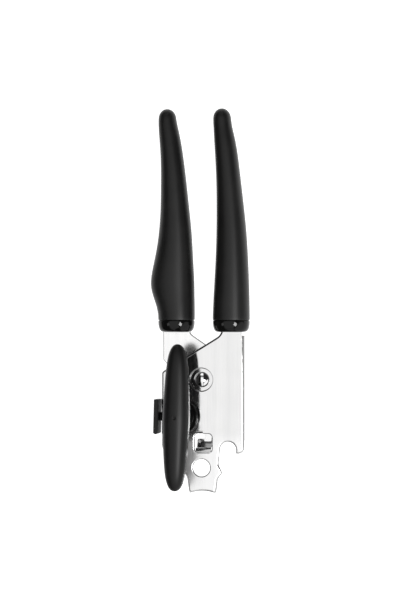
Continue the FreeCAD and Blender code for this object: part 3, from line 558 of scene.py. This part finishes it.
# %% Knob wing
LEDGE = 0.32 * MM                  # how far the lower half stands out at the parting line
LEDGE_HEIGHT = 0.04 * MM           # the ledge lies this far over the wing's middle
LEDGE_CREASE = 0.85
LEDGE_FADE = 1.6                   # the ledge is full where the wing is wider than 1 / 1.6 of its widest
LEDGE_BLEND = 5.2                  # how fast the lower half turns from ledge to belly
WING_TAPER = 0.3                   # share of its width that it loses towards its ends
WING_TAPER_POWER = 1.4
WING_END = 9.0                     # the higher, the later its ends close in
WING_END_POWER = 2.2
WING_SECTION = 2.2
WING_TURN = math.radians(-1.3)
WING_SLIM = 0.15 * MM              # kept clear of the CAD box on each side
WING_SHORT = 0.5 * MM              # and at each end
WING_RING = 32
WING_PLACES = (3, 10, 18, 27, 36, 45, 53, 60, 66, 71, 75, 79, 82, 84)
WING_LAST = 86                     # the place that stands for the wing's very end
GATE_R = 0.85 * MM                 # sunk mark where the plastic entered the mould
GATE_DEPTH = 0.5 * MM
GATE_INSET = 0.15 * MM
GATE_LOW = 0.05 * MM               # its rim lies this far under the crest


def wing_ring(bm, y, swell, half, middle_z):
    """Ring of the wing at y: wide lower half, ledge, slightly narrower upper half."""
    made = bmesh.ops.create_circle(bm, cap_ends=False, segments=WING_RING, radius=1.0)["verts"]
    ledge = LEDGE * min(1.0, swell * LEDGE_FADE)
    for vert in made:
        cosine, sine = vert.co.x, vert.co.y
        across = math.copysign(abs(cosine) ** (2 / WING_SECTION), cosine)
        up = math.copysign(abs(sine) ** (2 / WING_SECTION), sine)
        width = half.x * swell
        upper_half = sine > -0.01
        if upper_half:
            width -= ledge
            height = up * half.z * swell
        else:
            lift = max(0.0, 1 - abs(sine) * LEDGE_BLEND)
            height = up * half.z * swell * (1 - lift) + LEDGE_HEIGHT * lift
            across = across * (1 - lift) + math.copysign(lift, cosine)
        vert.co = (width * across, y, middle_z + height)
    return made


def gate_mark(bm, top):
    """Sinks a small round mark into the middle of the wing's crest: three insets, each one pulled round."""
    centre = min(bm.verts, key=lambda vert: (vert.co - Vector((0, 0, top))).length)
    crest = list(centre.link_faces)
    rim_and_floor = ((GATE_R * 1.3, 0.0), (GATE_R, 0.1 * GATE_DEPTH), (GATE_R * 0.75, GATE_DEPTH))
    for radius, drop in rim_and_floor:
        bmesh.ops.inset_region(bm, faces=crest, thickness=GATE_INSET, use_even_offset=True)
        rim = {vert for face in crest for vert in face.verts} - {centre}
        for vert in rim:
            flat = Vector((vert.co.x, vert.co.y, 0)).normalized() * radius
            vert.co = (flat.x, flat.y, top - GATE_LOW - drop)
    centre.co.z = top - GATE_LOW - GATE_DEPTH


def knob_wing():
    """Loft of the whole wing, turned to its angle and moved onto the drive axis."""
    low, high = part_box("knob_wing")
    half = Vector(((high.x - low.x) / 2, 0, (high.z - low.z) / 2))
    half.x -= WING_SLIM
    reach = (high.y - low.y) / 2 - WING_SHORT
    middle_z = (low.z + high.z) / 2
    bm = bmesh.new()
    rings = []
    for place in [-place for place in reversed(WING_PLACES)] + [0, *WING_PLACES]:
        share = math.sin(math.pi / 2 * place / WING_LAST)
        end = (1 - abs(share) ** WING_END) ** (1 / WING_END_POWER)
        swell = (1 - WING_TAPER * abs(share) ** WING_TAPER_POWER) * end
        rings.append(wing_ring(bm, reach * share, swell, half, middle_z))
    crease = bm.edges.layers.float.new("crease_edge")
    loft(bm, rings)
    for column in zip(*rings):
        over_middle = column[len(column) // 2].co.z - middle_z
        if abs(over_middle) < 3 * LEDGE_HEIGHT:
            for edge in ring_edges(column):
                edge[crease] = LEDGE_CREASE
    gate_mark(bm, high.z)
    bmesh.ops.rotate(bm, verts=bm.verts, cent=(0, 0, 0), matrix=Matrix.Rotation(WING_TURN, 3, "Z"))
    bmesh.ops.translate(bm, verts=bm.verts, vec=(DRIVE.x, DRIVE.y, 0))
    return smoothed(finished("knob_wing_piece", bm, knob_black, "knob", "knob_wing", 180.0))


knob_wing()

# %% [markdown]
# ## Turned pieces
# The knob's base, the bushing, shaft, washers, studs and both wheels are round about one axis. A lathe
# makes the real ones, and spinning a profile is the same idea: draw half the section as a few points, spin
# it a full turn. Heights come from the CAD nodes' boxes, so a profile names only radii and small steps.

# %% Spinning a profile
SAME_POINT = 1e-7
FINE_STEPS = 96                    # round a piece that is seen close


def turned(name, profile, centre, material, body, node, steps=72, edge=0.12 * MM):
    """Lathe: profile is (radius, height) pairs in metres, spun about the Z line through centre."""
    bm = bmesh.new()
    verts = [bmesh.ops.create_vert(bm, co=(radius, 0, height))["vert"][0] for radius, height in profile]
    edges = [bm.edges.new(pair) for pair in zip(verts, verts[1:])]
    if profile[0] == profile[-1]:
        bmesh.ops.remove_doubles(bm, verts=bm.verts, dist=SAME_POINT)
        edges = bm.edges[:]
    half_section = bm.verts[:] + edges
    full = 2 * math.pi
    bmesh.ops.spin(
        bm, geom=half_section, cent=(0, 0, 0), axis=(0, 0, 1), angle=full, steps=steps, use_merge=True
    )
    bmesh.ops.remove_doubles(bm, verts=bm.verts, dist=SAME_POINT)
    bmesh.ops.recalc_face_normals(bm, faces=bm.faces)
    bmesh.ops.translate(bm, verts=bm.verts, vec=(centre.x, centre.y, 0))
    return eased(finished(name, bm, material, body, node), edge)


def arc(centre_r, centre_z, radius, start, end, steps):
    """Points of a rounded corner, for a profile."""
    turns = [math.radians(start + (end - start) * i / steps) for i in range(steps + 1)]
    return [(centre_r + radius * math.cos(t), centre_z + radius * math.sin(t)) for t in turns]


def tube(node, inner, centre, material, body):
    """Washer or sleeve as wide and high as its CAD node."""
    low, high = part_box(node)
    outer = (high.x - low.x) / 2
    profile = [(inner, low.z), (outer, low.z), (outer, high.z), (inner, high.z), (inner, low.z)]
    return turned(node + "_piece", profile, centre, material, body, node, edge=0.05 * MM)


# %% Knob base
DISC_THICK = 2.8 * MM
DISC_LEAN = 0.5 * MM               # the disc's side draws in this much towards the plate
DISC_LOW_ROUND = 0.4 * MM
DISC_TOP_ROUND = 0.6 * MM
NECK = ((7.2, 0), (6.4, 1.4), (5.8, 4.0))  # radius and height over the disc, in mm
NECK_TOP_R = 5.6 * MM
NECK_INTO_WING = 1.0 * MM
STEM_R = 4.6 * MM


def knob_base():
    """Base disc, a waisted neck and the stem that the wing hides."""
    low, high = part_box("knob_core")
    disc_r = (high.x - low.x) / 2
    disc_top = low.z + DISC_THICK
    foot_r = disc_r - DISC_LEAN - DISC_LOW_ROUND
    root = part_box("knob_wing")[0].z + NECK_INTO_WING
    profile = [(0, low.z)]
    profile += arc(foot_r, low.z + DISC_LOW_ROUND, DISC_LOW_ROUND, -90, 0, 3)
    profile += arc(disc_r - DISC_TOP_ROUND, disc_top - DISC_TOP_ROUND, DISC_TOP_ROUND, 0, 90, 5)
    profile += [(radius * MM, disc_top + height * MM) for radius, height in NECK]
    profile += [(NECK_TOP_R, root), (STEM_R, root), (STEM_R, high.z), (0, high.z)]
    return turned(
        "knob_core_piece", profile, DRIVE, gloss_black, "knob", "knob_core", FINE_STEPS
    )


knob_base()

# %% Pivot rivet and washers
HEAD_RISE = 1.7 * MM
PIVOT_BORE = 2.6 * MM
DRIVE_BORE = 3.0 * MM
SCREW_BORE = 1.5 * MM
UPSET_R = 3.9 * MM                 # the rivet's closed end
UPSET_THICK = 1.1 * MM
UPSET_EDGE = ((3.6, 0.35), (2.9, 0.0))  # radius and height of its rounded edge, in mm


def pivot_rivet():
    """Domed head in the body's dish, shank and upset end."""
    low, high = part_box("pivot_rivet")
    head_r = (high.x - low.x) / 2
    floor = high.z - HEAD_RISE
    ball = (head_r**2 + HEAD_RISE**2) / (2 * HEAD_RISE)
    rim = math.degrees(math.asin((floor - (high.z - ball)) / ball))
    profile = arc(0, high.z - ball, ball, 90, rim, 14)
    profile[0] = (0, high.z)
    tail = low.z + UPSET_THICK
    profile += [(PIVOT_BORE, floor), (PIVOT_BORE, tail), (UPSET_R, tail)]
    profile += [(radius * MM, low.z + height * MM) for radius, height in UPSET_EDGE]
    profile += [(0, low.z)]
    return turned(
        "pivot_rivet_piece", profile, PIVOT, rivet_steel, "body", "pivot_rivet",
        FINE_STEPS, 0.08 * MM
    )


pivot_rivet()
tube("pivot_washer", PIVOT_BORE, PIVOT, pivot_steel, "body")
tube("pivot_back_washer", PIVOT_BORE, PIVOT, pivot_steel, "body")
tube("knob_washer", DRIVE_BORE, DRIVE, nylon_black, "knob")
tube("feed_washer", DRIVE_BORE, DRIVE, drive_steel, "knob")
tube("cutter_washer", SCREW_BORE, CUTTER, cutter_steel, "arm")

# %% Bushing and shaft
RUNNING_BORE = 3.05 * MM           # a bore that turns on a shaft of 3 mm radius
SLEEVE_R = 4.9 * MM
SQUARE_R = 2.3 * MM                # stands for the shaft's hidden squares
SHAFT_HEAD_R = 3.6 * MM
SHAFT_HEAD_BEVEL = (0.9 * MM, 0.5 * MM)  # across and along


def drive_bushing():
    """Flanged sleeve in the body plate."""
    low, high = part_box("drive_bushing")
    flange_r = (high.x - low.x) / 2
    profile = [(RUNNING_BORE, low.z), (SLEEVE_R, low.z), (SLEEVE_R, FRONT), (flange_r, FRONT)]
    profile += [(flange_r, high.z), (RUNNING_BORE, high.z), (RUNNING_BORE, low.z)]
    return turned(
        "drive_bushing_piece", profile, DRIVE, drive_steel, "body", "drive_bushing"
    )


def drive_shaft():
    """Shaft with its head behind the feed wheel; the squares are hidden in wheel and knob."""
    low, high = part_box("drive_shaft")
    wheel_low, wheel_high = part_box("feed_wheel")
    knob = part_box("knob_core")[0].z
    across, along = SHAFT_HEAD_BEVEL
    profile = [(0, low.z), (SHAFT_HEAD_R - across, low.z), (SHAFT_HEAD_R, low.z + along)]
    profile += [(SHAFT_HEAD_R, wheel_low.z), (SQUARE_R, wheel_low.z), (SQUARE_R, wheel_high.z)]
    profile += [(DRIVE_BORE, wheel_high.z), (DRIVE_BORE, knob), (SQUARE_R, knob)]
    profile += [(SQUARE_R, high.z), (0, high.z)]
    return turned("drive_shaft_piece", profile, DRIVE, drive_steel, "knob", "drive_shaft")


drive_bushing()
drive_shaft()

# %% [markdown]
# ## Feed wheel
# The feed wheel grips the underside of the can's rim, so it has sharp V-shaped teeth. A circle with two
# points per tooth has every second point pulled in, is filled and pushed up into a short cylinder, and its
# front ring is drawn in to make the sloping flank that guides the rim.

# %% Toothed wheel
TEETH = 24
TOOTH_DEPTH = 0.9 * MM
FLANK_RISE = 1.2 * MM              # height of the sloping front flank
FLANK_SHARE = 0.87                 # size of its front ring beside the toothed rim


def feed_wheel():
    """Star-shaped disc with a bevelled front face."""
    low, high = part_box("feed_wheel")
    outer = (high.y - low.y) / 2
    root = outer - TOOTH_DEPTH
    bm = bmesh.new()
    ring = bmesh.ops.create_circle(bm, cap_ends=True, segments=2 * TEETH, radius=outer)["verts"]
    for index, vert in enumerate(ring):
        if index % 2:
            vert.co *= root / outer
    front = bm.faces[:]
    shoulder = high.z - low.z - FLANK_RISE
    for rise, narrow in ((shoulder, 1.0), (FLANK_RISE, FLANK_SHARE)):
        raised = bmesh.ops.extrude_face_region(bm, geom=front)["geom"]
        verts = [item for item in raised if isinstance(item, bmesh.types.BMVert)]
        bmesh.ops.translate(bm, verts=verts, vec=(0, 0, rise))
        bmesh.ops.scale(bm, verts=verts, vec=(narrow, narrow, 1))
        front = [item for item in raised if isinstance(item, bmesh.types.BMFace)]
    bmesh.ops.recalc_face_normals(bm, faces=bm.faces)
    bmesh.ops.translate(bm, verts=bm.verts, vec=(DRIVE.x, DRIVE.y, low.z))
    wheel = finished("feed_wheel_piece", bm, drive_steel, "knob", "feed_wheel", 20.0)
    return eased(wheel, 0.06 * MM)


feed_wheel()

# %% [markdown]
# ## Cutting wheel and its stud
# The cutting wheel is a hardened disc whose edge is ground from behind to a thin land. It turns freely on a
# shouldered stud that is riveted into the arm and closed by a washer and a screw. The screw and the wall
# rest's rivet keep their CAD form. Three sets of pins that nobody can see are left as CAD meshes and only get
# a steel.

# %% Cutting wheel, stud and screw
GRIND = ((2.4, 0.0), (1.1, 0.75))  # ground edge: in from the rim and up from the back, in mm
CUTTING_LAND = 0.18 * MM
FRONT_BREAK = 0.8 * MM             # extra ring on the front face, in from the rim
JOURNAL_R = 3.0 * MM
SHOULDER_R = 4.4 * MM
STUD_HEAD = ((4.0, 0.0), (3.7, 0.2))  # radius, and how far its edge is let down, in mm
STUD_TOP_R = 3.1 * MM
WHEEL_PLAY = 0.05 * MM


def cutting_wheel():
    """Disc whose edge is ground from behind to a thin land."""
    low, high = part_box("cutter_wheel")
    outer = (high.x - low.x) / 2
    profile = [(RUNNING_BORE, low.z)]
    profile += [(outer - inwards * MM, low.z + up * MM) for inwards, up in GRIND]
    profile += [(outer, high.z - CUTTING_LAND), (outer, high.z), (outer - FRONT_BREAK, high.z)]
    profile += [(RUNNING_BORE, high.z), (RUNNING_BORE, low.z)]
    return turned(
        "cutter_wheel_piece", profile, CUTTER, cutter_steel, "cutter", "cutter_wheel",
        FINE_STEPS, 0.04 * MM
    )


def cutter_stud():
    """Riveted head, shank, thick shoulder and journal."""
    low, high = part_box("cutter_stud")
    arm_low, arm_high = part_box("arm_plate")
    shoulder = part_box("cutter_wheel")[1].z + WHEEL_PLAY
    (head_r, _), (edge_r, let_down) = STUD_HEAD
    profile = [(0, low.z), (JOURNAL_R, low.z), (JOURNAL_R, shoulder), (SHOULDER_R, shoulder)]
    profile += [(SHOULDER_R, arm_low.z), (JOURNAL_R, arm_low.z), (JOURNAL_R, arm_high.z)]
    profile += [(head_r * MM, arm_high.z), (edge_r * MM, high.z - let_down * MM)]
    profile += [(STUD_TOP_R, high.z), (0, high.z)]
    return turned("cutter_stud_piece", profile, CUTTER, cutter_steel, "arm", "cutter_stud")


cutting_wheel()
cutter_stud()
pressed("cutter_screw", cutter_steel, "arm", 0.08 * MM)
pressed("wall_rest_rivet", pin_steel, "body", 0.1 * MM)
for hidden_pin in ("left_tang_pins", "right_tang_pins", "knob_pin"):
    materials = frame["nodes"][hidden_pin].data.materials
    materials.clear()
    materials.append(pin_steel)

# %% [markdown]
# ## Table, light and camera
# Small shiny tools are photographed on a backlit white table under large soft boxes. The table lights the
# object from below and washes out its shadow. The sky is white overhead and darker towards the left and the
# top, because a bent edge of polished steel only reads as an edge if it mirrors something dark.

# %% Backlit table
WHITE = (1, 1, 1, 1)
TABLE_HALF = 3.0
TABLE_GLOW = 0.95
TABLE_TONES = (0.5, 0.54)


def table():
    """A broad white sheet that glows a little."""
    bm = bmesh.new()
    bmesh.ops.create_grid(bm, x_segments=1, y_segments=1, size=TABLE_HALF)
    mesh = bpy.data.meshes.new("table")
    bm.to_mesh(mesh)
    bm.free()
    sheet = bpy.data.objects.new("table", mesh)
    bpy.context.scene.collection.objects.link(sheet)
    constants = {"Roughness": 0.9, "Specular IOR Level": 0.0, "Emission Color": WHITE}
    white = Material("table_white", {**constants, "Emission Strength": TABLE_GLOW})
    dark, light = TABLE_TONES
    white.feed("Base Color", white.blend(white.noise(2.0, 2.0), grey(dark), grey(light)))
    mesh.materials.append(white.material)
    print("table", 2 * TABLE_HALF, "m wide")


table()

# %% Sky
STRIP_LEFT = (math.radians(-34), math.radians(-20))   # leans between which the strip fades in
STRIP_RIGHT = (math.radians(6), math.radians(17))     # and out again
HORIZON = (0.0, 0.35)              # heights between which the strip fades in over the horizon
TOP_DARK = (0.3, 0.42)             # towards the handles the strip fades out here
TOP_LIGHT = (0.62, 0.74)           # and comes back here, near the table
BOTTOM_DIM = (0.3, 0.6)            # towards the tail it is dimmer
BOX_SIDE = (0.72, -0.62, 0.3)      # direction of the low box
BOX_EDGE = (0.72, 0.9)
LEFT_EDGE = (0.8, 1.0)
SKY_POWER = 1.36


def sky():
    """One long strip overhead, one box low on the right, and darkness between them."""
    world = bpy.data.worlds.new("sky")
    world.use_nodes = True
    bpy.context.scene.world = world
    dome = Finish(world.node_tree)
    background = world.node_tree.nodes["Background"]
    direction = dome.node("ShaderNodeTexCoord", {}, {}, "Generated")
    x, y, z = (dome.part(direction, axis) for axis in "XYZ")
    lean = x.math("ARCTAN2", x, z)
    strip = lean.ramp(*STRIP_LEFT) * (1 - lean.ramp(*STRIP_RIGHT)) * z.ramp(*HORIZON)
    side_x, side_y, side_z = BOX_SIDE
    box = (side_x * x + side_y * y + side_z * z).ramp(*BOX_EDGE)
    left = (-x).ramp(*LEFT_EDGE)
    shade = 1 - 0.85 * y.ramp(*TOP_DARK) * (1 - y.ramp(*TOP_LIGHT)) - 0.4 * (-y).ramp(*BOTTOM_DIM)
    strength = (0.02 + SKY_POWER * strip * shade + 1.5 * box + 0.1 * left).clamp() * SKY_POWER
    world.node_tree.links.new(strength.socket, background.inputs["Strength"])
    background.inputs["Color"].default_value = WHITE
    print("sky", len(world.node_tree.nodes), "nodes")


sky()

# %% Two soft boxes
BOX_REACH = 0.9                    # from the opener to each box


def soft_box(name, turn, size, brightness):
    """Rectangular area light facing the opener: turn is (right, up) in degrees from straight overhead."""
    right, up = (math.tan(math.radians(angle)) for angle in turn)
    place = Vector((right, up, 1)).normalized() * BOX_REACH
    light = bpy.data.lights.new(name, "AREA")
    light.shape = "RECTANGLE"
    light.size, light.size_y = size
    light.energy = brightness * math.pi * size[0] * size[1]
    lamp = bpy.data.objects.new(name, light)
    lamp.location = place
    lamp.rotation_euler = (-place).to_track_quat("-Z", "Y").to_euler()
    bpy.context.scene.collection.objects.link(lamp)
    print(name, round(light.energy, 2), "W")


soft_box("key_box", (20, -13), (0.21, 0.24), 33.0)
soft_box("fill_box", (-34, -14), (0.16, 0.2), 2.5)

# %% Camera
VIEW_SIDE = math.radians(10.0)     # the view comes from a little to the right of square-on
DISTANCE = 1.4
FRAME_HEIGHT = 328.2 * MM          # height of the view at the plate
AIM = Vector((-0.6 * MM, 43.6 * MM, 0))  # from the pivot to the middle of the view
SENSOR = 36.0


def camera():
    """Long lens over the table, turned so that the handles point up."""
    centre = Vector((PIVOT.x, PIVOT.y, FRONT)) + AIM
    lens = bpy.data.cameras.new("camera")
    lens.sensor_fit = "VERTICAL"
    lens.sensor_height = SENSOR
    lens.lens = lens.sensor_height * DISTANCE / FRAME_HEIGHT
    eye = bpy.data.objects.new("camera", lens)
    eye.location = centre + Vector((math.sin(VIEW_SIDE), 0, math.cos(VIEW_SIDE))) * DISTANCE
    eye.rotation_euler = (0, VIEW_SIDE, 0)
    bpy.context.scene.collection.objects.link(eye)
    bpy.context.scene.camera = eye
    bpy.context.scene.view_settings.view_transform = "Standard"
    print("lens", round(lens.lens, 1), "mm")


camera()
